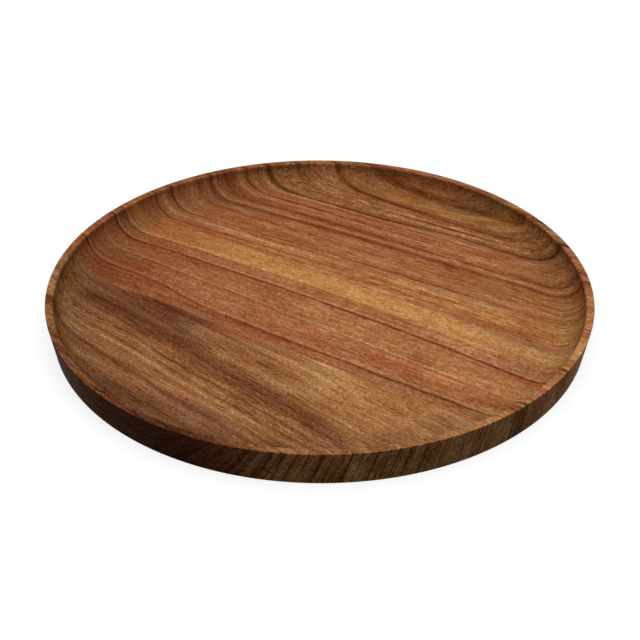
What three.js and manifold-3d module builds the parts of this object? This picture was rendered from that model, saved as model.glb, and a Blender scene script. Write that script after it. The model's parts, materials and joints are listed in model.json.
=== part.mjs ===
// A round wooden serving platter, turned from a panel of three boards glued edge to edge.
// Millimetres, +Z up. The origin is the middle of the underside and the grain runs along X.
import * as THREE from "three";
import { mergeVertices } from "three/addons/utils/BufferGeometryUtils.js";
import Module from "manifold-3d";

// Driving dimensions of the turned shape
const RIM_DIAMETER = 330; // outside of the wall at its top
const WALL_LEAN = 2.2; // how far the outside of the wall comes in from rim to foot
const PLATTER_HEIGHT = 21;
const FLOOR_THICKNESS = 5;
const RIM_WIDTH = 4.8; // top of the wall, from outside to inside
const COVE_WIDTH = 17.3; // reach of the hollow's curved side, in from the rim
const RIM_OUTER_RADIUS = 0.4; // rounding of the rim's outer edge
const RIM_INNER_RADIUS = 1.5; // softer rounding of the rim's inner edge
const FOOT_EDGE_RADIUS = 0.6; // rounding where the wall meets the underside

// Driving dimensions of the glued panel: each joint is an upright plane along the grain
const FRONT_JOINT_Y = -57.75;
const REAR_JOINT_Y = 24.25;
const GLUE_THICKNESS = 0.25;

// Steps of the round stretches
const TURN_STEPS = 120;
const COVE_STEPS = 12;
const EDGE_STEPS = 4;

const wasm = await Module();
wasm.setup();

// Points along an arc or quarter ellipse of the section, turning clockwise where asked.
function arc(centreR, centreZ, radiusR, radiusZ, start, end, steps, clockwise = false) {
  const curve = new THREE.EllipseCurve(centreR, centreZ, radiusR, radiusZ, start, end, clockwise);
  return curve.getPoints(steps);
}

// Half section of the platter: from the axis under the floor, up the outside, over the rim and down into the dish.
function halfSection() {
  const rimRadius = RIM_DIAMETER / 2;
  const baseRadius = rimRadius - WALL_LEAN;
  const hollowRadius = rimRadius - RIM_WIDTH;
  const innerEdgeZ = PLATTER_HEIGHT - RIM_INNER_RADIUS;
  const quarter = Math.PI / 2;

  const foot = arc(
    baseRadius - FOOT_EDGE_RADIUS, FOOT_EDGE_RADIUS, FOOT_EDGE_RADIUS, FOOT_EDGE_RADIUS,
    -quarter, 0, EDGE_STEPS,
  );
  const outerEdge = arc(
    rimRadius - RIM_OUTER_RADIUS, PLATTER_HEIGHT - RIM_OUTER_RADIUS, RIM_OUTER_RADIUS, RIM_OUTER_RADIUS,
    0, quarter, EDGE_STEPS,
  );
  const innerEdge = arc(
    hollowRadius + RIM_INNER_RADIUS, innerEdgeZ, RIM_INNER_RADIUS, RIM_INNER_RADIUS,
    quarter, Math.PI, EDGE_STEPS,
  );
  const cove = arc(
    hollowRadius - COVE_WIDTH, innerEdgeZ, COVE_WIDTH, innerEdgeZ - FLOOR_THICKNESS,
    0, -quarter, COVE_STEPS, true,
  );
  const underside = new THREE.Vector2(0, 0);
  const floor = new THREE.Vector2(0, FLOOR_THICKNESS);
  // the cove starts where the rim's inner edge ends
  return [underside, ...foot, ...outerEdge, ...innerEdge, ...cove.slice(1), floor];
}

// A closed solid from a geometry: shared vertices are merged and triangles that collapse on the axis are dropped.
function solidOf(geometry) {
  geometry.deleteAttribute("normal");
  geometry.deleteAttribute("uv");
  const merged = mergeVertices(geometry);
  const index = merged.index.array;
  const triVerts = [];
  for (let i = 0; i < index.length; i += 3) {
    const [a, b, c] = [index[i], index[i + 1], index[i + 2]];
    if (a !== b && b !== c && c !== a) triVerts.push(a, b, c);
  }
  const vertProperties = merged.attributes.position.array;
  return new wasm.Manifold(
    new wasm.Mesh({ numProp: 3, vertProperties, triVerts: new Uint32Array(triVerts) }),
  );
}

// The whole turned shape. The lathe turns about Y, so its axis is laid over on to Z.
function turnedPlatter() {
  const lathe = new THREE.LatheGeometry(halfSection(), TURN_STEPS);
  const axisToZ = new THREE.Matrix4().set(1, 0, 0, 0, 0, 0, -1, 0, 0, 1, 0, 0, 0, 0, 0, 1);
  return solidOf(lathe.applyMatrix4(axisToZ));
}

// All the space on one side of the upright plane at y: side is 1 for the rear of it and -1 for the front.
function spaceBeyond(y, side) {
  const reach = 2 * RIM_DIAMETER;
  const block = new THREE.BoxGeometry(1, 1, 1);
  block.translate(0, side / 2, 0);
  block.scale(reach, reach, reach);
  block.translate(0, y, 0);
  return solidOf(block);
}

// One piece of the platter as a named mesh with its own finish.
function pieceMesh(name, solid, color, roughness) {
  const { vertProperties, triVerts } = solid.getMesh();
  const geometry = new THREE.BufferGeometry();
  geometry.setAttribute("position", new THREE.BufferAttribute(vertProperties, 3));
  geometry.setIndex(new THREE.BufferAttribute(triVerts, 1));
  geometry.computeVertexNormals();
  const mesh = new THREE.Mesh(geometry, new THREE.MeshStandardMaterial({ color, roughness, metalness: 0 }));
  mesh.name = name;
  return mesh;
}

const platter = turnedPlatter();
const halfGlue = GLUE_THICKNESS / 2;

// Faces of the joints, front to rear: each board ends where its glue begins
const frontJointFront = FRONT_JOINT_Y - halfGlue;
const frontJointRear = FRONT_JOINT_Y + halfGlue;
const rearJointFront = REAR_JOINT_Y - halfGlue;
const rearJointRear = REAR_JOINT_Y + halfGlue;

function slice(low, high) {
  return platter.intersect(spaceBeyond(low, 1)).intersect(spaceBeyond(high, -1));
}

const frontBoard = platter.intersect(spaceBeyond(frontJointFront, -1));
const frontGlue = slice(frontJointFront, frontJointRear);
const middleBoard = slice(frontJointRear, rearJointFront);
const rearGlue = slice(rearJointFront, rearJointRear);
const rearBoard = platter.intersect(spaceBeyond(rearJointRear, 1));

const BOARD_ROUGHNESS = 0.5;
const GLUE_ROUGHNESS = 0.35;
const group = new THREE.Group();
group.add(
  pieceMesh("front_board", frontBoard, "#8a5a2e", BOARD_ROUGHNESS),
  pieceMesh("front_glue_line", frontGlue, "#a8743c", GLUE_ROUGHNESS),
  pieceMesh("middle_board", middleBoard, "#a5622f", BOARD_ROUGHNESS),
  pieceMesh("rear_glue_line", rearGlue, "#a8743c", GLUE_ROUGHNESS),
  pieceMesh("rear_board", rearBoard, "#96582c", BOARD_ROUGHNESS),
);

export default group;
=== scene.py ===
"""A round wooden serving platter, turned from three boards glued edge to edge, laid out as an add-on."""
import json
import math
from typing import NamedTuple

import bmesh
import bpy
from mathutils import Matrix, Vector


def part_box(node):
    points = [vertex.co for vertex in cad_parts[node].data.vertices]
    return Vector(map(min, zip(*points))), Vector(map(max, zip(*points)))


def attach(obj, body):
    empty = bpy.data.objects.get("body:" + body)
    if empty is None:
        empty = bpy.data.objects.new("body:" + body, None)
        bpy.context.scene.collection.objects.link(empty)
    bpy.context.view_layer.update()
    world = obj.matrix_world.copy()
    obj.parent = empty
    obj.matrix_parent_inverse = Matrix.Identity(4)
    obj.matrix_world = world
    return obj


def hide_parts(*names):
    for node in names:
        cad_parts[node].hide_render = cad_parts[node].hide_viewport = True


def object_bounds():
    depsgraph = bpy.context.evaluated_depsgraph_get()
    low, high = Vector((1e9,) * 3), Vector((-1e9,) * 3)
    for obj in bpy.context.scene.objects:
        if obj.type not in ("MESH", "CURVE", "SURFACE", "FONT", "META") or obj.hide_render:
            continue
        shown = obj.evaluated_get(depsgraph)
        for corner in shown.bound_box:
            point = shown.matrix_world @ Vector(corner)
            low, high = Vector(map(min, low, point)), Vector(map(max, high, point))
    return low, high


bl_info = {
    "name": "Wooden serving platter",
    "version": (1, 0, 0),
    "blender": (4, 5, 0),
    "location": "3D View > Sidebar > Platter",
    "description": "Builds the boards and glue lines of a turned wooden platter in a plain studio",
    "category": "Object",
}

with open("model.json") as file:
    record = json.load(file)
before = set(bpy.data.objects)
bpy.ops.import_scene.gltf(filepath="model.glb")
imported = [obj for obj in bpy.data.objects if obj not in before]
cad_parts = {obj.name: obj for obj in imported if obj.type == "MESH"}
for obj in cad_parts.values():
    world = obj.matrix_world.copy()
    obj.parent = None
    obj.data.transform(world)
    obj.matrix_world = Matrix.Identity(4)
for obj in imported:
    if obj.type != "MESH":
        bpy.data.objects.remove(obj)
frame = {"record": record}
CAD_LOW, CAD_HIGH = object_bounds()
BODY = "root"

# Places that the frame gives, in metres
DISH_FLOOR = next(mount for mount in frame["record"]["mounts"] if mount["name"] == "dish_floor")
FRONT_GLUE_LOW, FRONT_GLUE_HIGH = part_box("front_glue_line")
REAR_GLUE_LOW, REAR_GLUE_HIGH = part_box("rear_glue_line")

# Steps of the fine meshes: the turn is a multiple of four, so that it reaches the box on every side
TURN_STEPS = 360
COVE_STEPS = 20
EDGE_STEPS = 6
FLOOR_RINGS = 6
SHARP_ANGLE = math.radians(35)

# Studio floor: where it starts to turn plain white and where it is, its glow nearer in, and its gap
# under the platter, in metres
FLOOR_FADE = (0.3, 1.0)
FLOOR_GLOW = 0.8
FLOOR_GAP = 0.0001
FLOOR_SEGMENTS = 96
SENSOR_WIDTH_MM = 36.0

# The grain is written in millimetres
MM_PER_METRE = 1000
DISH_FLOOR_MM = DISH_FLOOR["pos_m"][2] * MM_PER_METRE

# Casts that the wood is multiplied by: in red and golden clouds, on the outer wall, in the cove, and by
# each step of shade, which darker wood and the painted shade share
RED_CAST = (1.0, 0.78, 0.72)
GOLD_CAST = (0.97, 1.08, 1.0)
WALL_CAST = (0.98, 1.09, 1.2)
COVE_CAST = (0.96, 1.05, 1.0)
SHADE = (0.57, 0.52, 0.6)
WOOD_GLOSS = 0.005

# Lumps of each noise along, across and up through a board or a film of glue
DRIFT_LUMPS = (95.0, 40.0, 60.0)
RIPPLE_LUMPS = (24.0, 8.0, 14.0)
RING_LUMPS = (200.0, 3.2, 60.0)
STREAK_LUMPS = (9.0, 1.2, 3.0)
SPECKLE_LUMPS = (2.0, 1.25, 1.25)
MOTTLE_LUMPS = (45.0, 14.0, 20.0)
FLECK_LUMPS = (2.2, 1.2, 1.2)
DASH_LUMPS = (5.0, 1.3, 2.0)
WARMTH_LUMPS = (16.0, 7.0, 9.0)
LINE_LUMPS = (45.0, 20.0, 20.0)
CUT_LUMPS = (300.0, 0.75, 50.0)
SMEAR_LUMPS = (18.0, 2.0, 4.0)
DUST_LUMPS = (2.0, 0.6, 0.8)
PORE_WIDTH = 1.0
PORE_HEIGHT = 2.0
CLOUD_HEIGHT = 60.0

# Where the glue's noise is taken from
GLUE_SEED = 31

# Sideways swing of the grain for a board whose wave is 1
DRIFT_SWING = 1.4
RIPPLE_SWING = 0.7

# Where each part of the turned shape starts and where it is whole
WALL_OUTWARD = (60.0, 130.0)  # of the place measured along the surface's normal
RIM_HEIGHT = (19.4, 20.6)
COVE_RADIUS = (130.0, 152.0)
# FOOT_HEIGHT and WALL_FRONT bound the painted light on the outer wall's foot and front
FOOT_HEIGHT = (15.0, 4.0)
WALL_FRONT = (-80.0, -115.0)
# the next four bound the painted shade on the front left of the outer wall and of the cove
AWAY_ALONG = (110.0, -60.0)  # the front left of the outer wall, along and across
AWAY_ACROSS = (-50.0, -140.0)
SIDE_DIRECTION = (0.6, 0.8)  # the front left of the cove lies the other way
SIDE_REACH = (-40.0, -130.0)
FIGURE_EDGE = 2.0

# Steps of painted shade on the outer wall and in the cove, below zero where they are painted light
# painted shade on the front left of the outer wall, painted light on its front and at its foot
AWAY_PAINTED_SHADE = 0.95
WALL_FRONT_PAINTED_SHADE = -0.45
FOOT_PAINTED_SHADE = -0.3
# painted shade in the outer ring of the cove, deepest at the front left
COVE_PAINTED_SHADE = 0.12
COVE_SIDE_PAINTED_SHADE = 0.38

# Lines and clouds on the outer wall
WALL_LINE_LOSS = 0.2
WALL_RING_LOSS = 0.1
WALL_CLOUD_LOSS = 0.3
CUT_LEAN_SHARE = 0.5
CUT_DEPTH = 1.2

# How light clouds, flecks and lines act on the tone
LIGHT_DEPTH = 0.5
LIGHT_SHADE = 0.44
FLECK_SHADE = 0.85
FEATHER_SHARE = 0.4
LINE_WEAR = 0.25
FIGURE_DEPTH = 0.2
DASH_DEPTH = 0.65
DEPTH_GAMMA = 0.3
DEPTH_LOSS = 0.2
WARMTH_RED = 0.7
LINE_RED = 0.35
GOLD_LIMITS = (-0.3, -1.2)


class PlatterSizes(bpy.types.PropertyGroup):
    """Sizes of the turned shape"""

    rim_radius: bpy.props.FloatProperty(
        name="Rim radius", description="Outside of the wall at its top",
        default=CAD_HIGH.x, unit="LENGTH")
    height: bpy.props.FloatProperty(
        name="Height", description="From the underside to the top of the rim",
        default=CAD_HIGH.z, unit="LENGTH")
    floor_thickness: bpy.props.FloatProperty(
        name="Floor thickness", description="From the underside to the floor of the dish",
        default=DISH_FLOOR["pos_m"][2], unit="LENGTH")
    wall_lean: bpy.props.FloatProperty(
        name="Wall lean", description="How far the outside of the wall comes in from rim to foot",
        default=0.0022, unit="LENGTH")
    rim_width: bpy.props.FloatProperty(
        name="Rim width", description="Top of the wall, from outside to inside",
        default=0.0048, unit="LENGTH")
    cove_width: bpy.props.FloatProperty(
        name="Cove width", description="Reach of the hollow's curved side, in from the rim",
        default=0.0173, unit="LENGTH")
    rim_outer_radius: bpy.props.FloatProperty(
        name="Rim outer radius", description="Rounding of the rim's outer edge",
        default=0.0004, unit="LENGTH")
    rim_inner_radius: bpy.props.FloatProperty(
        name="Rim inner radius", description="Softer rounding of the rim's inner edge",
        default=0.0015, unit="LENGTH")
    foot_edge_radius: bpy.props.FloatProperty(
        name="Foot edge radius", description="Rounding where the wall meets the underside",
        default=0.0006, unit="LENGTH")


def tone_property(name, description, colour):
    """A colour of the wood that a user can change."""
    return bpy.props.FloatVectorProperty(
        name=name, description=description, subtype="COLOR", default=colour, min=0.0, max=1.0)


class WoodTones(bpy.types.PropertyGroup):
    """Colours of the oiled wood, from its palest stripe to its darkest streak, and of the set glue"""

    pale_gold: tone_property("Pale gold", "Lightest stripe of the middle board", (0.455, 0.208, 0.064))
    gold: tone_property("Gold", "Edges of the lightest stripe", (0.395, 0.175, 0.056))
    wheat: tone_property("Wheat", "Light greyish gold of the front board", (0.362, 0.166, 0.061))
    tan: tone_property("Tan", "Light plain wood", (0.345, 0.14, 0.052))
    honey: tone_property("Honey", "Plain orange-brown wood", (0.318, 0.121, 0.045))
    copper: tone_property("Copper", "Warm reddish wood", (0.305, 0.111, 0.043))
    russet: tone_property("Russet", "Red-brown wood beside the joints", (0.255, 0.084, 0.032))
    brown: tone_property("Brown", "Golden-brown wood", (0.25, 0.104, 0.038))
    sand: tone_property("Sand", "Flecked wood behind the darkest growth line", (0.3, 0.121, 0.045))
    gold_brown: tone_property("Golden brown", "Light wood of the front board", (0.3, 0.135, 0.05))
    dark_brown: tone_property("Dark brown", "Shaded bands", (0.165, 0.062, 0.024))
    amber: tone_property("Amber", "Warm wood beside the rear joint", (0.33, 0.12, 0.039))
    glue: tone_property("Glue", "Set glue in the joints", (0.36, 0.147, 0.052))


class StageSettings(bpy.types.PropertyGroup):
    """Camera, light and floor of the plain studio"""

    focal_length: bpy.props.FloatProperty(
        name="Focal length", description="Lens in millimetres on a 36 mm sensor", default=56.25)
    camera_azimuth: bpy.props.FloatProperty(
        name="Camera azimuth", description="Turn of the camera to the right of the front",
        default=math.radians(32.5), subtype="ANGLE")
    camera_elevation: bpy.props.FloatProperty(
        name="Camera elevation", description="Angle at which the camera looks down",
        default=math.radians(34.005), subtype="ANGLE")
    camera_roll: bpy.props.FloatProperty(
        name="Camera roll", description="Turn of the camera about its own line of sight",
        default=math.radians(0.298), subtype="ANGLE")
    camera_place: bpy.props.FloatVectorProperty(
        name="Camera place", description="Where the camera stands",
        default=(0.28253, -0.44312, 0.34191), subtype="TRANSLATION", unit="LENGTH")
    softbox_width: bpy.props.FloatProperty(
        name="Softbox width", description="Diameter of the round light overhead",
        default=3.0, unit="LENGTH")
    softbox_height: bpy.props.FloatProperty(
        name="Softbox height", description="How high the light hangs over the table",
        default=2.5, unit="LENGTH")
    softbox_shift: bpy.props.FloatVectorProperty(
        name="Softbox shift",
        description="How far the light hangs to the right and to the rear of the platter's middle",
        size=2, default=(0.45, -0.2), unit="LENGTH")
    softbox_level: bpy.props.FloatProperty(
        name="Softbox level", description="Share of full light that the softbox gives under its middle",
        default=1.03, subtype="FACTOR")
    fill_level: bpy.props.FloatProperty(
        name="Fill level", description="Even light from all round", default=0.04, subtype="FACTOR")
    floor_radius: bpy.props.FloatProperty(
        name="Floor radius", description="Reach of the round pale floor", default=6.0, unit="LENGTH")
    floor_colour: tone_property("Floor colour", "Pale floor as the camera sees it", (0.22, 0.22, 0.22))
    floor_bounce: tone_property("Floor bounce", "Floor as it lights the platter", (0.03, 0.03, 0.03))


class Value:
    """A number or colour that changes over a surface: arithmetic on numbers adds Math nodes"""

    def __init__(self, finish, socket):
        self.finish = finish
        self.socket = socket

    def math(self, operation, first, second=0.0):
        return self.finish.node("ShaderNodeMath", {"operation": operation}, {0: first, 1: second})

    def __add__(self, other):
        return self.math("ADD", self, other)

    def __radd__(self, other):
        return self.math("ADD", other, self)

    def __sub__(self, other):
        return self.math("SUBTRACT", self, other)

    def __rsub__(self, other):
        return self.math("SUBTRACT", other, self)

    def __mul__(self, other):
        return self.math("MULTIPLY", self, other)

    def __rmul__(self, other):
        return self.math("MULTIPLY", other, self)


class Finish:
    """The node tree of one material or of the world, with the few nodes that a finish is made of"""

    def __init__(self, tree):
        self.tree = tree
        tree.nodes.clear()

    def node(self, kind, settings=None, sockets=None, out=0):
        """Adds a node: its settings first, then the values or links of its sockets.

        out names or numbers the output that is wanted, or lists several.
        """
        made = self.tree.nodes.new(kind)
        for name, setting in (settings or {}).items():
            if name == "stops":
                set_stops(made.color_ramp, setting)
            else:
                setattr(made, name, setting)
        for key, value in (sockets or {}).items():
            if isinstance(value, Value):
                self.tree.links.new(value.socket, made.inputs[key])
            else:
                made.inputs[key].default_value = value
        if isinstance(out, tuple):
            return [Value(self, made.outputs[key]) for key in out]
        if len(made.outputs) == 0:
            return None
        return Value(self, made.outputs[out])

    def rise(self, value, low, high):
        """A smooth rise from 0 at low to 1 at high, which may be the smaller of the two."""
        return self.node(
            "ShaderNodeMapRange", {"interpolation_type": "SMOOTHSTEP"},
            {"Value": value, "From Min": low, "From Max": high})

    def noise(self, place, size, seed, detail=2.0, roughness=0.5):
        """Noise about 0 whose lumps measure size along each axis; seed moves it elsewhere."""
        shares = tuple(1 / length for length in size)
        offset = (7.3 * seed, 3.1 * seed, 5.7 * seed)
        scaled = self.node(
            "ShaderNodeVectorMath", {"operation": "MULTIPLY_ADD"}, {0: place, 1: shares, 2: offset})
        return self.node(
            "ShaderNodeTexNoise", {"noise_dimensions": "3D", "normalize": False},
            {"Vector": scaled, "Scale": 1.0, "Detail": detail, "Roughness": roughness})

    def bands(self, value, stops):
        """A colour that follows value through stops, each a place and a colour."""
        low = stops[0][0]
        reach = stops[-1][0] - low
        shares = [((place - low) / reach, colour) for place, colour in stops]
        share = self.node(
            "ShaderNodeMapRange", None, {"Value": value, "From Min": low, "From Max": low + reach})
        return self.node("ShaderNodeValToRGB", {"stops": shares}, {"Fac": share})

    def mix(self, share, first, second):
        """A colour between two others."""
        return self.node(
            "ShaderNodeMix", {"data_type": "RGBA"},
            {"Factor": share, 6: first, 7: second}, out=2)

    def times(self, first, second):
        """The product of two colours."""
        return self.node("ShaderNodeVectorMath", {"operation": "MULTIPLY"}, {0: first, 1: second})

    def tint(self, share, colour, cast):
        """A colour that moves by share towards itself times a cast."""
        return self.mix(share, colour, self.times(colour, cast))

    def length(self, vector):
        """The length of a vector."""
        return self.node("ShaderNodeVectorMath", {"operation": "LENGTH"}, {0: vector}, out="Value")


def set_stops(ramp, stops):
    """Gives a colour ramp its stops, each a share from 0 to 1 and a colour."""
    ramp.interpolation = "EASE"
    while len(ramp.elements) < len(stops):
        ramp.elements.new(1.0)
    for element, (share, colour) in zip(ramp.elements, stops):
        element.position = share
        element.color = (*colour, 1.0)


def new_material(name):
    """An empty material and the finish that fills its node tree."""
    material = bpy.data.materials.new(name)
    material.use_nodes = True
    return material, Finish(material.node_tree)


def arc(centre, radii, start, end, steps):
    """Points along an arc or quarter ellipse of the section, both ends included."""
    angles = [start + (end - start) * step / steps for step in range(steps + 1)]
    return [
        (centre[0] + radii[0] * math.cos(angle), centre[1] + radii[1] * math.sin(angle))
        for angle in angles
    ]


def half_section(sizes):
    """Half section: from the axis under the floor, up the outside, over the rim and down into the dish."""
    base_radius = sizes.rim_radius - sizes.wall_lean
    hollow_radius = sizes.rim_radius - sizes.rim_width
    floor_radius = hollow_radius - sizes.cove_width
    foot = sizes.foot_edge_radius
    outer = sizes.rim_outer_radius
    inner = sizes.rim_inner_radius
    inner_height = sizes.height - inner
    quarter = math.pi / 2

    underside = [((base_radius - foot) * ring / FLOOR_RINGS, 0.0) for ring in range(FLOOR_RINGS)]
    foot_edge = arc((base_radius - foot, foot), (foot, foot), -quarter, 0, EDGE_STEPS)
    outer_centre = (sizes.rim_radius - outer, sizes.height - outer)
    outer_edge = arc(outer_centre, (outer, outer), 0, quarter, EDGE_STEPS)
    inner_edge = arc((hollow_radius + inner, inner_height), (inner, inner), quarter, math.pi, EDGE_STEPS)
    cove_rise = inner_height - sizes.floor_thickness
    cove = arc((floor_radius, inner_height), (sizes.cove_width, cove_rise), 0, -quarter, COVE_STEPS)
    floor = [
        (floor_radius * (FLOOR_RINGS - ring) / FLOOR_RINGS, sizes.floor_thickness)
        for ring in range(1, FLOOR_RINGS + 1)
    ]
    # the cove starts where the rim's inner edge ends
    return underside + foot_edge + outer_edge + inner_edge + cove[1:] + floor


def turn_section(mesh, section):
    """Turns a half section that starts and ends on the axis into a closed surface."""
    rings = []
    for radius, height in section:
        if radius == 0.0:
            rings.append([mesh.verts.new((0.0, 0.0, height))] * TURN_STEPS)
            continue
        ring = []
        for step in range(TURN_STEPS):
            angle = 2 * math.pi * step / TURN_STEPS
            ring.append(mesh.verts.new((radius * math.cos(angle), radius * math.sin(angle), height)))
        rings.append(ring)
    for lower, upper in zip(rings, rings[1:]):
        for step in range(TURN_STEPS):
            after = (step + 1) % TURN_STEPS
            corners = [lower[step], lower[after], upper[after], upper[step]]
            mesh.faces.new(list(dict.fromkeys(corners)))


def saw_at(mesh, y, keep):
    """Saws along the upright plane at y and closes the cut; keep is 1 for the rear part, else -1."""
    everything = [*mesh.verts, *mesh.edges, *mesh.faces]
    bmesh.ops.bisect_plane(
        mesh, geom=everything, plane_co=(0, y, 0), plane_no=(0, -keep, 0), clear_outer=True)
    rim = [edge for edge in mesh.edges if edge.is_boundary]
    filled = bmesh.ops.holes_fill(mesh, edges=rim, sides=0)
    if not filled["faces"]:
        raise RuntimeError(f"the saw cut at {y} has no face")
    bmesh.ops.triangulate(mesh, faces=filled["faces"])


def add_piece(name, node, material, sizes, front=None, rear=None):
    """Adds the part of the turned platter between two upright planes, in place of a node of the frame."""
    mesh = bmesh.new()
    turn_section(mesh, half_section(sizes))
    if front is not None:
        saw_at(mesh, front, 1)
    if rear is not None:
        saw_at(mesh, rear, -1)
    bmesh.ops.recalc_face_normals(mesh, faces=mesh.faces)
    data = bpy.data.meshes.new(name)
    mesh.to_mesh(data)
    mesh.free()
    data.shade_smooth()
    data.set_sharp_from_angle(angle=SHARP_ANGLE)
    data.materials.append(material)
    piece = bpy.data.objects.new(name, data)
    bpy.context.scene.collection.objects.link(piece)
    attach(piece, BODY)
    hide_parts(node)
    return piece


class Run(NamedTuple):
    """Course of the grain along a board, as a move across it.

    tilt is the move for each millimetre along, and bow the move for each square millimetre. step is a
    further move, made between the two places along the board that reach holds.
    """

    tilt: float = 0.0
    bow: float = 0.0
    step: float = 0.0
    reach: tuple = ()


class Line(NamedTuple):
    """A thin growth line: its place on the middle line, its reach to the front and rear, and its depth.

    A depth below zero is a lighter line. Each of its fades is a place along the board where it is still
    full and one where it is gone.
    """

    place: float
    front: float
    rear: float
    depth: float
    run: Run = Run()
    fades: tuple = ()


class Patch(NamedTuple):
    """A cloud of other wood: its middle and half lengths along and across the board.

    A depth below zero is lighter wood, and red below zero is golden wood. The broad clouds at the boards'
    left and right ends are partly painted shade and painted light.
    """

    along: float
    across: float
    length: float
    width: float
    depth: float
    red: float = 0.0


class Grain(NamedTuple):
    """How one board has grown, with places in millimetres.

    bands are tones from front to rear, and figure is the stretch across the board that has light dashes.
    lean is what each millimetre up adds to the place across the grain. wave and feather are how far the
    grain swings and frays. rings, fibre, speckle, fleck, mottle and pores are strengths. smoke is the share
    of the growth lines that is shade, and rim_lines is how much stronger they are on the rim.
    """

    seed: int
    bands: tuple
    lines: tuple
    patches: tuple
    band_run: Run
    fibre_run: Run
    lean: float
    wave: float
    feather: float
    rings: float
    fibre: float
    speckle: float
    fleck: float
    mottle: float
    pores: float
    pore_length: float
    rim_lines: float
    smoke: float
    figure: tuple = ()


REAR_RUN = Run(0.025, -0.00007)
REAR_GRAIN = Grain(
    seed=77,
    bands=(
        (24.0, "copper"),
        (27.0, "honey"),
        (35.0, "amber"),
        (41.0, "tan"),
        (46.0, "tan"),
        (58.0, "honey"),
        (71.0, "honey"),
        (76.0, "russet"),
        (80.0, "copper"),
        (88.0, "russet"),
        (94.0, "honey"),
        (108.0, "copper"),
        (113.0, "brown"),
        (122.0, "sand"),
        (130.0, "brown"),
        (133.0, "russet"),
        (138.0, "sand"),
        (143.0, "gold"),
        (149.0, "sand"),
        (157.0, "copper"),
        (166.0, "tan"),
    ),
    lines=(
        Line(31.5, 1.5, 1.6, 0.45, Run(-0.01, 0.0), fades=((40.0, 10.0),)),
        Line(35.6, 1.5, 1.7, 0.75, Run(0.04, -0.00005), fades=((30.0, 110.0),)),
        Line(41.5, 1.9, 2.1, -0.4, Run(0.025, -0.0001), fades=((70.0, 105.0),)),
        Line(49.2, 1.5, 1.9, 1.1, Run(0.034, -0.00012), fades=((60.0, 160.0),)),
        Line(63.8, 1.5, 1.6, 0.4, Run(0.012, 0.0)),
        Line(77.0, 1.6, 2.4, 0.8, Run(0.027, -0.00008)),
        Line(81.4, 1.6, 1.6, -0.3, Run(0.027, -0.00008), fades=((-30.0, 20.0),)),
        Line(85.9, 1.5, 2.0, 0.5, Run(0.022, -0.00006)),
        Line(97.0, 1.5, 1.8, 0.9, Run(0.0, -0.00006), fades=((10.0, 80.0),)),
        Line(108.9, 1.9, 2.1, 1.35, Run(0.0, 0.0, 6.0, (-45.0, 40.0))),
        Line(122.8, 1.4, 1.6, 0.7, fades=((40.0, 70.0),)),
        Line(132.8, 2.4, 3.0, 0.8, Run(-0.06, 0.00045), fades=((55.0, 95.0),)),
        Line(132.8, 2.4, 3.4, 0.6, Run(-0.06, 0.00045), fades=((-25.0, 20.0),)),
        Line(152.8, 2.0, 4.0, 0.8, Run(-0.05, -0.0017)),
    ),
    patches=(
        Patch(-112.0, 28.0, 38.0, 8.0, 0.15, 0.5),
        Patch(-105.0, 60.0, 35.0, 10.0, 0.0, 0.7),
        Patch(125.0, 28.0, 32.0, 6.0, 0.2, 0.0),
        Patch(142.0, 39.0, 30.0, 13.0, -0.35, -1.0),
        Patch(40.0, 66.0, 52.0, 8.0, -0.25, 0.0),
        Patch(45.0, 95.0, 55.0, 8.0, -0.25, 0.0),
        Patch(-30.0, 56.0, 42.0, 7.0, -0.2, 0.0),
        Patch(32.0, 139.0, 34.0, 6.0, -0.5, -0.4),
        Patch(28.0, 149.0, 34.0, 6.0, 0.5, 0.0),
        Patch(-30.0, 136.0, 24.0, 6.0, 0.3, 0.0),
        Patch(-78.0, 66.0, 34.0, 8.0, 0.2, 0.1),
        Patch(70.0, 34.0, 75.0, 16.0, -0.55, -0.6),
        Patch(95.0, 76.0, 70.0, 55.0, 0.0, -1.1),
        Patch(15.0, 28.0, 48.0, 6.0, -0.4, 0.1),
        Patch(80.0, 55.0, 32.0, 8.0, 0.3, 0.0),
        # darker at the left end: partly the wood, partly painted shade where the light falls off to the
        # left
        Patch(-168.0, 34.0, 30.0, 50.0, 0.8, 0.2),
        Patch(-104.0, 76.0, 45.0, 16.0, 0.15, -0.4),
        # darker towards the left: partly the wood, partly painted shade
        Patch(-150.0, 75.0, 70.0, 70.0, 0.45, 0.0),
        Patch(-66.0, 126.0, 38.0, 10.0, -0.65, 0.0),
        Patch(48.0, 154.0, 72.0, 12.0, 0.4, -0.9),
        Patch(62.0, 88.0, 46.0, 26.0, -0.25, 0.0),
        Patch(-60.0, 90.0, 40.0, 5.0, -0.4, 0.0),
        Patch(112.0, 108.0, 20.0, 16.0, 0.5, 0.0),
        Patch(-47.0, 142.0, 32.0, 7.0, 0.65, 0.0),
        Patch(-126.0, 34.0, 30.0, 7.0, 0.6, 0.1),
        Patch(18.0, 80.0, 28.0, 4.0, 0.3, 0.0),
        Patch(-10.0, 97.0, 18.0, 13.0, -0.3, 0.0),
        Patch(8.0, 36.0, 24.0, 6.0, -0.35, 0.0),
        Patch(50.0, 103.0, 22.0, 5.0, -0.5, 0.0),
        Patch(76.0, 97.0, 22.0, 4.0, 0.45, 0.0),
        Patch(-88.0, 70.0, 28.0, 4.0, 0.4, 0.0),
        Patch(-134.0, 66.0, 20.0, 6.0, 0.4, 0.0),
        Patch(72.0, 36.0, 24.0, 6.0, -0.45, 0.0),
    ),
    band_run=REAR_RUN,
    fibre_run=REAR_RUN,
    lean=-0.14,
    wave=0.8,
    feather=0.5,
    rings=0.5,
    fibre=0.5,
    speckle=0.6,
    fleck=0.3,
    mottle=0.4,
    pores=0.5,
    pore_length=9.0,
    rim_lines=0.3,
    smoke=0.4,
    figure=(115.5, 129.5),
)

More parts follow.
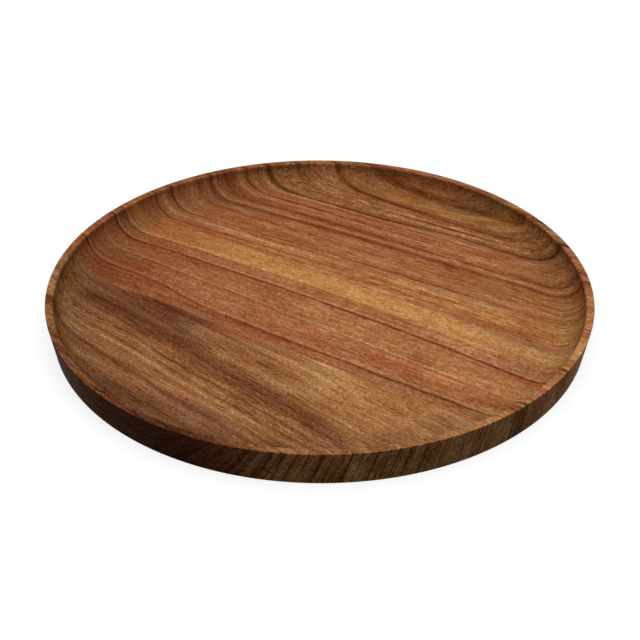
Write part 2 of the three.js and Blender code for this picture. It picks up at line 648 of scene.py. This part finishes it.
MIDDLE_RUN = Run(0.0, -0.0002)
MIDDLE_STEP = Run(0.0, 0.0, -8.0, (-112.0, -45.0))
MIDDLE_GRAIN = Grain(
    seed=41,
    bands=(
        (-58.0, "copper"),
        (-48.0, "copper"),
        (-40.0, "copper"),
        (-33.0, "copper"),
        (-26.0, "honey"),
        (-19.0, "tan"),
        (-12.0, "tan"),
        (-5.0, "honey"),
        (2.0, "honey"),
        (6.5, "tan"),
        (9.0, "gold"),
        (15.0, "pale_gold"),
        (21.0, "pale_gold"),
        (26.0, "gold"),
    ),
    lines=(
        Line(6.7, 1.5, 1.2, 0.65, Run(0.006, -0.00022), fades=((20.0, 70.0),)),
        Line(9.8, 1.8, 1.9, -0.55, Run(0.006, -0.00022), fades=((50.0, 95.0),)),
        Line(-4.4, 1.9, 1.6, 1.25, Run(-0.006, -0.00022)),
        Line(-2.2, 1.4, 1.6, -0.3, Run(-0.006, -0.00022)),
        Line(-25.8, 1.2, 1.2, -0.5, Run(-0.03, 0.0)),
        Line(-27.8, 1.6, 1.2, 0.4, Run(-0.03, 0.0)),
        Line(-41.8, 1.7, 1.3, 0.8, MIDDLE_STEP),
        Line(-41.8, 1.7, 1.3, 0.45, MIDDLE_STEP, fades=((30.0, 0.0),)),
        Line(-39.4, 1.4, 1.6, -0.4, MIDDLE_STEP),
        Line(-45.9, 1.5, 1.2, 0.5, MIDDLE_STEP, fades=((-45.0, -10.0),)),
    ),
    patches=(
        # darker towards the left: partly the wood, partly painted shade
        Patch(-130.0, -25.0, 75.0, 45.0, 0.55, 0.6),
        Patch(-65.0, -32.0, 32.0, 9.0, -0.15, -0.6),
        Patch(-85.0, -10.0, 32.0, 8.0, 0.35, 0.3),
        Patch(12.0, 12.0, 62.0, 11.0, -0.25, 0.0),
        Patch(20.0, 6.0, 52.0, 8.0, -0.5, 0.0),
        Patch(138.0, 11.0, 45.0, 26.0, 0.5, 0.0),
        Patch(125.0, -10.0, 42.0, 7.0, 0.2, 0.5),
        # darker at the left end: partly the wood, partly painted shade where the light falls off to the
        # left
        Patch(-168.0, 10.0, 28.0, 46.0, 1.0, 0.4),
        # lighter at the right end: partly the wood, partly painted light
        Patch(168.0, -12.0, 26.0, 50.0, -0.3, -0.1),
        Patch(86.0, -37.0, 45.0, 8.0, 0.05, 0.9),
        Patch(5.0, -39.0, 42.0, 8.0, -0.3, 0.5),
        Patch(-8.0, -51.0, 44.0, 7.0, 0.55, 0.7),
        # darker towards the left: partly the wood, partly painted shade
        Patch(-140.0, 17.0, 80.0, 20.0, 0.6, 0.8),
        Patch(95.0, 3.0, 62.0, 9.0, -0.35, -0.4),
        Patch(90.0, -51.0, 65.0, 9.0, 0.25, -1.0),
        Patch(-52.0, -54.0, 46.0, 7.0, 0.4, 0.1),
        Patch(8.0, -17.0, 48.0, 6.0, -0.4, 0.0),
        Patch(70.0, 17.0, 42.0, 6.0, 0.2, 0.0),
        Patch(-52.0, 0.0, 28.0, 4.0, 0.35, 0.0),
        Patch(-122.0, -53.0, 38.0, 8.0, 0.5, 0.1),
        Patch(148.0, -56.0, 24.0, 9.0, 0.8, 0.0),
        Patch(125.0, -53.0, 60.0, 8.0, 0.0, -1.5),
        Patch(153.0, -44.0, 26.0, 18.0, 0.0, -1.2),
        Patch(-92.0, -30.0, 28.0, 8.0, -0.35, 0.0),
        Patch(-72.0, -21.0, 24.0, 4.0, 0.35, 0.0),
        Patch(104.0, -25.0, 28.0, 6.0, -0.5, 0.0),
        Patch(110.0, 23.0, 46.0, 5.0, 0.5, 0.0),
        Patch(117.0, -36.0, 40.0, 14.0, -0.45, 0.0),
    ),
    band_run=MIDDLE_RUN,
    fibre_run=MIDDLE_RUN,
    lean=0.0,
    wave=0.6,
    feather=0.8,
    rings=0.35,
    fibre=0.35,
    speckle=0.75,
    fleck=0.18,
    mottle=0.45,
    pores=0.35,
    pore_length=4.0,
    rim_lines=0.4,
    smoke=0.4,
)

FRONT_GRAIN = Grain(
    seed=3,
    bands=(
        (-174.0, "dark_brown"),
        (-162.0, "dark_brown"),
        (-151.0, "brown"),
        (-140.0, "brown"),
        (-124.0, "gold_brown"),
        (-110.0, "brown"),
        (-90.0, "brown"),
        (-78.0, "gold_brown"),
        (-62.0, "wheat"),
        (-48.0, "wheat"),
        (-35.0, "wheat"),
    ),
    lines=(
        Line(-94.3, 8.5, 8.5, 0.9, Run(-0.17, -0.0003), fades=((80.0, 106.0), (-112.0, -134.0))),
        Line(-106.5, 1.5, 2.2, 0.75, Run(-0.145, 0.0), fades=((55.0, 90.0),)),
        Line(-112.5, 1.4, 2.0, 0.5, Run(-0.13, 0.0), fades=((55.0, 90.0),)),
        Line(-130.0, 2.4, 3.0, 0.9, Run(-0.14, 0.0)),
    ),
    patches=(
        Patch(-90.0, -70.0, 52.0, 20.0, 1.0, 0.1),
        Patch(-64.0, -63.0, 60.0, 11.0, 1.0, 0.4),
        Patch(-72.0, -60.0, 34.0, 6.0, 1.1, 0.3),
        Patch(-15.0, -61.0, 40.0, 9.0, 0.4, 0.8),
        Patch(46.0, -69.0, 42.0, 16.0, -0.2, -0.9),
        Patch(98.0, -66.0, 50.0, 16.0, -0.12, -0.9),
        Patch(-95.0, -61.0, 26.0, 6.0, 0.6, 0.7),
        Patch(-10.0, -71.0, 30.0, 8.0, 0.45, 0.4),
        Patch(-49.0, -142.0, 58.0, 13.0, 1.05, 0.0),
        Patch(72.0, -90.0, 25.0, 11.0, -0.35, -0.5),
        Patch(45.0, -158.0, 50.0, 13.0, 0.6, 0.4),
        Patch(106.0, -125.0, 20.0, 10.0, -0.3, 0.0),
        Patch(-128.0, -61.0, 30.0, 8.0, 0.7, 0.4),
        Patch(18.0, -140.0, 70.0, 18.0, 0.65, 0.1),
        Patch(-80.0, -112.0, 28.0, 10.0, 0.35, 0.3),
        Patch(-8.0, -127.0, 30.0, 6.0, 0.35, 0.3),
        Patch(18.0, -167.0, 66.0, 23.0, 1.7, 0.6),
        Patch(-45.0, -77.0, 30.0, 8.0, 0.45, 0.2),
        Patch(97.0, -64.0, 24.0, 6.0, -0.45, 0.0),
        Patch(108.0, -95.0, 18.0, 22.0, 0.75, 0.0),
        Patch(-18.0, -107.0, 32.0, 11.0, -0.5, 0.0),
        Patch(42.0, -120.0, 34.0, 6.0, -0.5, 0.0),
        Patch(14.0, -129.0, 24.0, 5.0, 0.5, 0.0),
        Patch(66.0, -134.0, 28.0, 12.0, 1.2, 0.15),
        Patch(30.0, -94.0, 18.0, 7.0, 0.3, 0.0),
        Patch(124.0, -72.0, 28.0, 14.0, 0.6, 0.0),
        Patch(10.0, -62.0, 28.0, 5.0, 0.4, 0.4),
        Patch(-110.0, -103.0, 17.0, 8.0, -0.35, 0.0),
        Patch(2.0, -83.0, 20.0, 7.0, -0.5, 0.0),
        Patch(-60.0, -73.0, 28.0, 10.0, 0.5, 0.0),
        Patch(-44.0, -61.0, 16.0, 6.0, 0.6, 0.0),
        Patch(-34.0, -81.0, 22.0, 7.0, 0.65, 0.0),
        Patch(-117.0, -75.0, 17.0, 8.0, 0.5, 0.0),
        Patch(28.0, -64.0, 32.0, 6.0, 0.35, 0.0),
        Patch(125.0, -61.0, 19.0, 6.0, 0.45, 0.0),
        Patch(96.0, -86.0, 16.0, 5.0, -0.3, 0.0),
        Patch(-54.0, -115.0, 22.0, 6.0, 0.45, 0.0),
        Patch(-105.0, -92.0, 26.0, 8.0, 0.3, 0.0),
        Patch(66.0, -69.0, 18.0, 6.0, -0.25, 0.0),
        Patch(8.0, -116.0, 18.0, 5.0, -0.45, 0.0),
    ),
    band_run=Run(-0.2, -0.0003),
    fibre_run=Run(-0.13, 0.0),
    lean=-0.19,
    wave=1.5,
    feather=3.0,
    rings=0.5,
    fibre=0.36,
    speckle=0.75,
    fleck=0.2,
    mottle=0.6,
    pores=0.8,
    pore_length=16.0,
    rim_lines=0.3,
    smoke=0.9,
)


def board_place(wood):
    """Where a point lies in its board, in millimetres: the vector and its three parts."""
    metres = wood.node("ShaderNodeTexCoord", out="Object")
    place = wood.node(
        "ShaderNodeVectorMath", {"operation": "SCALE"}, {0: metres, "Scale": MM_PER_METRE})
    along, across, up = wood.node("ShaderNodeSeparateXYZ", None, {0: place}, out=("X", "Y", "Z"))
    return place, along, across, up


def straightened(wood, across, along, run):
    """The place across a board once its grain is laid straight."""
    laid = across - along * (run.tilt + along * run.bow)
    if run.reach:
        start, end = run.reach
        laid = laid - wood.rise(along, start, end) * run.step
    return laid


def growth_lines(wood, course, along, lines):
    """Depth of tone that the thin growth lines add."""
    depth = 0.0
    for line in lines:
        off = straightened(wood, course, along, line.run) - line.place
        mask = wood.rise(off, -line.front, 0.0) * wood.rise(off, line.rear, 0.0) * line.depth
        for full, gone in line.fades:
            mask = mask * wood.rise(along, gone, full)
        depth = depth + mask
    return depth


def clouds(wood, place, stir, patches):
    """Shade, lightness and redness of clouds of other wood, at the ends partly painted light; stir breaks
    up their edges.
    """
    shade = 0.0
    light = 0.0
    red = 0.0
    for patch in patches:
        middle = (patch.along, patch.across, 0.0)
        size = (patch.length, patch.width, CLOUD_HEIGHT)
        off = wood.node("ShaderNodeVectorMath", {"operation": "SUBTRACT"}, {0: place, 1: middle})
        share = wood.node("ShaderNodeVectorMath", {"operation": "DIVIDE"}, {0: off, 1: size})
        mask = wood.rise(wood.length(share) + stir, 1.0, 0.1)
        if patch.depth > 0.0:
            shade = shade + mask * patch.depth
        else:
            light = light - mask * patch.depth
        red = red + mask * patch.red
    return shade, light, red


def turned_parts(wood, place, along, across, up):
    """Shares of the outer wall, the rim and the cove at a point; the underside's edge counts as cove."""
    facing = wood.node("ShaderNodeNewGeometry", out="True Normal")
    outward = wood.node(
        "ShaderNodeVectorMath", {"operation": "DOT_PRODUCT"}, {0: facing, 1: place}, out="Value")
    wall = wood.rise(outward, *WALL_OUTWARD)
    rim = wood.rise(up, *RIM_HEIGHT)
    level = wood.node("ShaderNodeCombineXYZ", None, {"X": along, "Y": across})
    hollow = wood.rise(wood.length(level), *COVE_RADIUS) * (1.0 - rim)
    return wall, rim, hollow * (1.0 - wall)


def painted_side_shade(wood, along, across, up, wall, cove, painted_shade_wall):
    """Painted shade of the outer wall and of the cove, both deepest at the front left, with painted light
    on the wall's front and foot.
    """
    foot = wood.rise(up, *FOOT_HEIGHT)
    front = wood.rise(across, *WALL_FRONT)
    toward = along * SIDE_DIRECTION[0] + across * SIDE_DIRECTION[1]
    painted_shade_side = wood.rise(toward, *SIDE_REACH)
    painted_wall_shade = painted_shade_wall * AWAY_PAINTED_SHADE + front * WALL_FRONT_PAINTED_SHADE + foot * FOOT_PAINTED_SHADE
    return wall * painted_wall_shade + cove * (COVE_PAINTED_SHADE + painted_shade_side * COVE_SIDE_PAINTED_SHADE)


def cut_lines(wood, along, across, up, grain):
    """Fine upright lines where the outer wall cuts the fibres."""
    leant = across + (up - DISH_FLOOR_MM) * (grain.lean * CUT_LEAN_SHARE)
    place = wood.node("ShaderNodeCombineXYZ", None, {"X": along, "Y": leant, "Z": up})
    return wood.rise(wood.noise(place, CUT_LUMPS, grain.seed + 11, detail=1.0), 0.05, 0.45)


def figure_depth(wood, fibres, laid, grain):
    """Depth of tone in the figured stretch of a board, which light dashes break up."""
    start, end = grain.figure
    rear_of_start = wood.rise(laid, start - FIGURE_EDGE, start + FIGURE_EDGE)
    front_of_end = wood.rise(laid, end + FIGURE_EDGE, end - FIGURE_EDGE)
    dashes = wood.rise(wood.noise(fibres, DASH_LUMPS, grain.seed + 10, detail=1.0), 0.0, 0.5)
    return rear_of_start * front_of_end * (FIGURE_DEPTH - dashes * DASH_DEPTH)


def oiled_wood(name, grain, tones):
    """Oiled wood of one board: growth bands and lines across it, fibres, pores and clouds along it."""
    material, wood = new_material(name)
    place, along, across, up = board_place(wood)
    wall, rim, cove = turned_parts(wood, place, along, across, up)
    # the front left of the outer wall, where the colour gets painted shade and the cut lines fade
    painted_shade_wall = wood.rise(along, *AWAY_ALONG) * wood.rise(across, *AWAY_ACROSS)
    seed = grain.seed

    # the grain's course, and its fibres laid straight
    drift = wood.noise(place, DRIFT_LUMPS, seed)
    ripple = wood.noise(place, RIPPLE_LUMPS, seed + 1)
    leant = across + (up - DISH_FLOOR_MM) * grain.lean
    course = leant + drift * (DRIFT_SWING * grain.wave) + ripple * (RIPPLE_SWING * grain.wave)
    laid = straightened(wood, course, along, grain.fibre_run)
    fibres = wood.node("ShaderNodeCombineXYZ", None, {"X": along, "Y": laid, "Z": up})

    # the parts of the grain
    pore_lumps = (grain.pore_length, PORE_WIDTH, PORE_HEIGHT)
    rings = wood.noise(fibres, RING_LUMPS, seed + 2, detail=3.0, roughness=0.6)
    streaks = wood.noise(fibres, STREAK_LUMPS, seed + 3, detail=2.0)
    speckle = wood.noise(fibres, SPECKLE_LUMPS, seed + 4, detail=1.0)
    mottle = wood.noise(place, MOTTLE_LUMPS, seed + 5, detail=2.0)
    pores = wood.rise(wood.noise(fibres, pore_lumps, seed + 6, detail=1.0), 0.28, 0.52)
    flecks = wood.rise(wood.noise(fibres, FLECK_LUMPS, seed + 9, detail=1.0), 0.15, 0.55)
    warmth = wood.noise(place, WARMTH_LUMPS, seed + 8, detail=1.0)
    line_strength = 1.0 + LINE_WEAR * wood.noise(place, LINE_LUMPS, seed + 7)
    frayed = course + streaks * (FEATHER_SHARE * grain.feather)
    lines = growth_lines(wood, frayed, along, grain.lines) * line_strength
    lines = lines * (1.0 - wall * WALL_LINE_LOSS + rim * grain.rim_lines)
    stir = mottle * 0.3 + streaks * 0.15
    cloud_shade, cloud_light, cloud_red = clouds(wood, place, stir, grain.patches)

    # depth of tone, which also makes the wood richer
    depth = lines * (1.0 - grain.smoke) + rings * (grain.rings - wall * WALL_RING_LOSS)
    depth = depth + streaks * grain.fibre + speckle * grain.speckle
    depth = depth + wall * cut_lines(wood, along, across, up, grain) * (CUT_DEPTH - painted_shade_wall)
    if grain.figure:
        depth = depth + figure_depth(wood, fibres, laid, grain)
    depth = depth + mottle * grain.mottle + pores * grain.pores - cloud_light * LIGHT_DEPTH

    # shade, which darkens it and turns it a little purple: darker wood from clouds and lines, with
    # painted shade and painted light on the outer wall and in the cove
    shade = cloud_shade * (1.0 - wall * WALL_CLOUD_LOSS) + lines * grain.smoke
    # painted shade on the front left of the outer wall and in the cove, painted light on the wall's front
    # and foot
    shade = shade + painted_side_shade(wood, along, across, up, wall, cove, painted_shade_wall)
    shade = shade - cloud_light * LIGHT_SHADE - flecks * (grain.fleck * FLECK_SHADE)

    band = straightened(wood, course, along, grain.band_run) + streaks * grain.feather
    tone = wood.bands(band, [(stop, getattr(tones, colour)) for stop, colour in grain.bands])
    deeper = wood.node("ShaderNodeGamma", None, {"Color": tone, "Gamma": 1.0 + depth * DEPTH_GAMMA})
    darker = wood.node(
        "ShaderNodeVectorMath", {"operation": "SCALE"}, {0: deeper, "Scale": 1.0 - depth * DEPTH_LOSS})
    dusk = wood.node("ShaderNodeGamma", None, {"Color": (*SHADE, 1.0), "Gamma": shade})
    red_share = wood.rise(cloud_red + warmth * WARMTH_RED + lines * LINE_RED, 0.0, 1.0)
    colour = wood.tint(red_share, wood.times(darker, dusk), RED_CAST)
    colour = wood.tint(wood.rise(cloud_red, *GOLD_LIMITS), colour, GOLD_CAST)
    # a bluer, greener cast on the outer wall
    colour = wood.tint(wall, colour, WALL_CAST)
    colour = wood.tint(cove, colour, COVE_CAST)

    height = streaks * 0.5 + speckle * 0.3 - pores
    bump = wood.node(
        "ShaderNodeBump", None, {"Strength": 0.25, "Distance": 0.0002, "Height": height})
    shader = wood.node("ShaderNodeBsdfPrincipled", None, {
        "Base Color": colour,
        "Roughness": 0.5 + pores * 0.15 + streaks * 0.06,
        "Specular IOR Level": WOOD_GLOSS,
        "Normal": bump,
    })
    wood.node("ShaderNodeOutputMaterial", None, {"Surface": shader})
    return material


def set_glue(tones):
    """Set wood glue: a thin amber film that shows the fibres beside it."""
    material, glue = new_material("set_glue")
    place = board_place(glue)[0]
    smear = glue.noise(place, SMEAR_LUMPS, GLUE_SEED, detail=3.0)
    dust = glue.noise(place, DUST_LUMPS, GLUE_SEED + 1)
    share = glue.rise(smear + dust * 0.5, -0.5, 0.6)
    colour = glue.mix(share, (*tones.russet, 1.0), (*tones.glue, 1.0))
    shader = glue.node("ShaderNodeBsdfPrincipled", None, {
        "Base Color": colour,
        "Roughness": 0.42 + dust * 0.08,
        "Specular IOR Level": WOOD_GLOSS,
    })
    glue.node("ShaderNodeOutputMaterial", None, {"Surface": shader})
    return material


class FrontBoard(bpy.types.Operator):
    """Add the front board, golden-brown with slanting curly grain"""

    bl_idname = "platter.front_board"
    bl_label = "Front board"

    def execute(self, context):
        scene = context.scene
        wood = oiled_wood("front_wood", FRONT_GRAIN, scene.wood_tones)
        add_piece("front_board_wood", "front_board", wood, scene.platter_sizes,
                  rear=FRONT_GLUE_LOW.y)
        return {"FINISHED"}


class MiddleBoard(bpy.types.Operator):
    """Add the middle board, reddish with a pale golden stripe at its rear edge"""

    bl_idname = "platter.middle_board"
    bl_label = "Middle board"

    def execute(self, context):
        scene = context.scene
        wood = oiled_wood("middle_wood", MIDDLE_GRAIN, scene.wood_tones)
        add_piece("middle_board_wood", "middle_board", wood, scene.platter_sizes,
                  front=FRONT_GLUE_HIGH.y, rear=REAR_GLUE_LOW.y)
        return {"FINISHED"}


class RearBoard(bpy.types.Operator):
    """Add the rear board, orange-brown with straight growth lines"""

    bl_idname = "platter.rear_board"
    bl_label = "Rear board"

    def execute(self, context):
        scene = context.scene
        wood = oiled_wood("rear_wood", REAR_GRAIN, scene.wood_tones)
        add_piece("rear_board_wood", "rear_board", wood, scene.platter_sizes,
                  front=REAR_GLUE_HIGH.y)
        return {"FINISHED"}


class GlueLines(bpy.types.Operator):
    """Add the films of set glue in the two joints"""

    bl_idname = "platter.glue_lines"
    bl_label = "Glue lines"

    def execute(self, context):
        scene = context.scene
        glue = set_glue(scene.wood_tones)
        add_piece("front_joint_glue", "front_glue_line", glue, scene.platter_sizes,
                  front=FRONT_GLUE_LOW.y, rear=FRONT_GLUE_HIGH.y)
        add_piece("rear_joint_glue", "rear_glue_line", glue, scene.platter_sizes,
                  front=REAR_GLUE_LOW.y, rear=REAR_GLUE_HIGH.y)
        return {"FINISHED"}


def seen_white(finish):
    """1 for a ray that shows the background itself: from the camera, off gloss or through glass."""
    camera, glossy, through = finish.node(
        "ShaderNodeLightPath", out=("Is Camera Ray", "Is Glossy Ray", "Is Transmission Ray"))
    return camera.math("MAXIMUM", camera.math("MAXIMUM", camera, glossy), through)


def add_world(stage):
    """A white world that lights the platter only by the fill level."""
    world = bpy.data.worlds.new("studio")
    world.use_nodes = True
    bpy.context.scene.world = world
    studio = Finish(world.node_tree)
    white = seen_white(studio)
    strength = white + (1.0 - white) * stage.fill_level
    background = studio.node(
        "ShaderNodeBackground", None, {"Color": (1.0, 1.0, 1.0, 1.0), "Strength": strength})
    studio.node("ShaderNodeOutputWorld", None, {"Surface": background})


def pale_floor(stage):
    """Floor that looks white, keeps the platter's shadow and throws little light back."""
    material, floor = new_material("pale_floor")
    place = floor.node("ShaderNodeTexCoord", out="Object")
    far = floor.rise(floor.length(place), *FLOOR_FADE)
    matt = floor.node("ShaderNodeBsdfDiffuse", None, {"Color": (*stage.floor_colour, 1.0)})
    glow = floor.node("ShaderNodeEmission", None, {"Strength": FLOOR_GLOW})
    near_floor = floor.node("ShaderNodeAddShader", None, {0: matt, 1: glow})
    far_floor = floor.node("ShaderNodeEmission", None, {"Strength": 1.0})
    shown = floor.node("ShaderNodeMixShader", None, {0: far, 1: near_floor, 2: far_floor})
    bounce = floor.node("ShaderNodeBsdfDiffuse", None, {"Color": (*stage.floor_bounce, 1.0)})
    surface = floor.node("ShaderNodeMixShader", None, {0: seen_white(floor), 1: bounce, 2: shown})
    floor.node("ShaderNodeOutputMaterial", None, {"Surface": surface})
    return material


def add_floor(stage):
    """A large round floor just under the platter."""
    mesh = bmesh.new()
    bmesh.ops.create_circle(mesh, cap_ends=True, segments=FLOOR_SEGMENTS, radius=stage.floor_radius)
    data = bpy.data.meshes.new("floor")
    mesh.to_mesh(data)
    mesh.free()
    data.materials.append(pale_floor(stage))
    floor = bpy.data.objects.new("floor", data)
    floor.location.z = -FLOOR_GAP
    bpy.context.scene.collection.objects.link(floor)


def add_softbox(stage):
    """A round soft light overhead, at which white under its middle renders as its level."""
    radius = stage.softbox_width / 2
    lamp = bpy.data.lights.new("softbox", "AREA")
    lamp.shape = "DISK"
    lamp.size = stage.softbox_width
    lamp.energy = stage.softbox_level * math.pi ** 2 * (stage.softbox_height ** 2 + radius ** 2)
    softbox = bpy.data.objects.new("softbox", lamp)
    softbox.location = (*stage.softbox_shift, stage.softbox_height)
    bpy.context.scene.collection.objects.link(softbox)


def add_camera(stage):
    """The camera, which looks down at the platter from the front right."""
    azimuth, elevation = stage.camera_azimuth, stage.camera_elevation
    lens = bpy.data.cameras.new("camera")
    lens.sensor_width = SENSOR_WIDTH_MM
    lens.lens = stage.focal_length
    camera = bpy.data.objects.new("camera", lens)
    turn = Matrix.Rotation(azimuth, 4, "Z") @ Matrix.Rotation(math.pi / 2 - elevation, 4, "X")
    roll = Matrix.Rotation(stage.camera_roll, 4, "Z")
    camera.matrix_world = Matrix.Translation(stage.camera_place) @ turn @ roll
    bpy.context.scene.collection.objects.link(camera)
    bpy.context.scene.camera = camera


class Studio(bpy.types.Operator):
    """Add the camera, the soft light, the white world and the pale floor"""

    bl_idname = "platter.studio"
    bl_label = "Studio"

    def execute(self, context):
        stage = context.scene.platter_stage
        context.scene.view_settings.view_transform = "Standard"
        add_camera(stage)
        add_softbox(stage)
        add_world(stage)
        add_floor(stage)
        return {"FINISHED"}


class PlatterPanel(bpy.types.Panel):
    """Buttons that build the platter, one for each piece"""

    bl_idname = "VIEW3D_PT_platter"
    bl_label = "Wooden platter"
    bl_space_type = "VIEW_3D"
    bl_region_type = "UI"
    bl_category = "Platter"

    def draw(self, context):
        for operator in OPERATORS:
            self.layout.operator(operator.bl_idname)


OPERATORS = (FrontBoard, MiddleBoard, RearBoard, GlueLines, Studio)
SETTINGS = {"platter_sizes": PlatterSizes, "wood_tones": WoodTones, "platter_stage": StageSettings}


def register():
    for group in SETTINGS.values():
        bpy.utils.register_class(group)
    for name, group in SETTINGS.items():
        setattr(bpy.types.Scene, name, bpy.props.PointerProperty(type=group))
    for operator in OPERATORS:
        bpy.utils.register_class(operator)
    bpy.utils.register_class(PlatterPanel)


def unregister():
    bpy.utils.unregister_class(PlatterPanel)
    for operator in reversed(OPERATORS):
        bpy.utils.unregister_class(operator)
    for name in SETTINGS:
        delattr(bpy.types.Scene, name)
    for group in reversed(SETTINGS.values()):
        bpy.utils.unregister_class(group)


def main():
    register()
    bpy.ops.platter.front_board()
    bpy.ops.platter.middle_board()
    bpy.ops.platter.rear_board()
    bpy.ops.platter.glue_lines()
    bpy.ops.platter.studio()


if __name__ == "__main__":
    main()
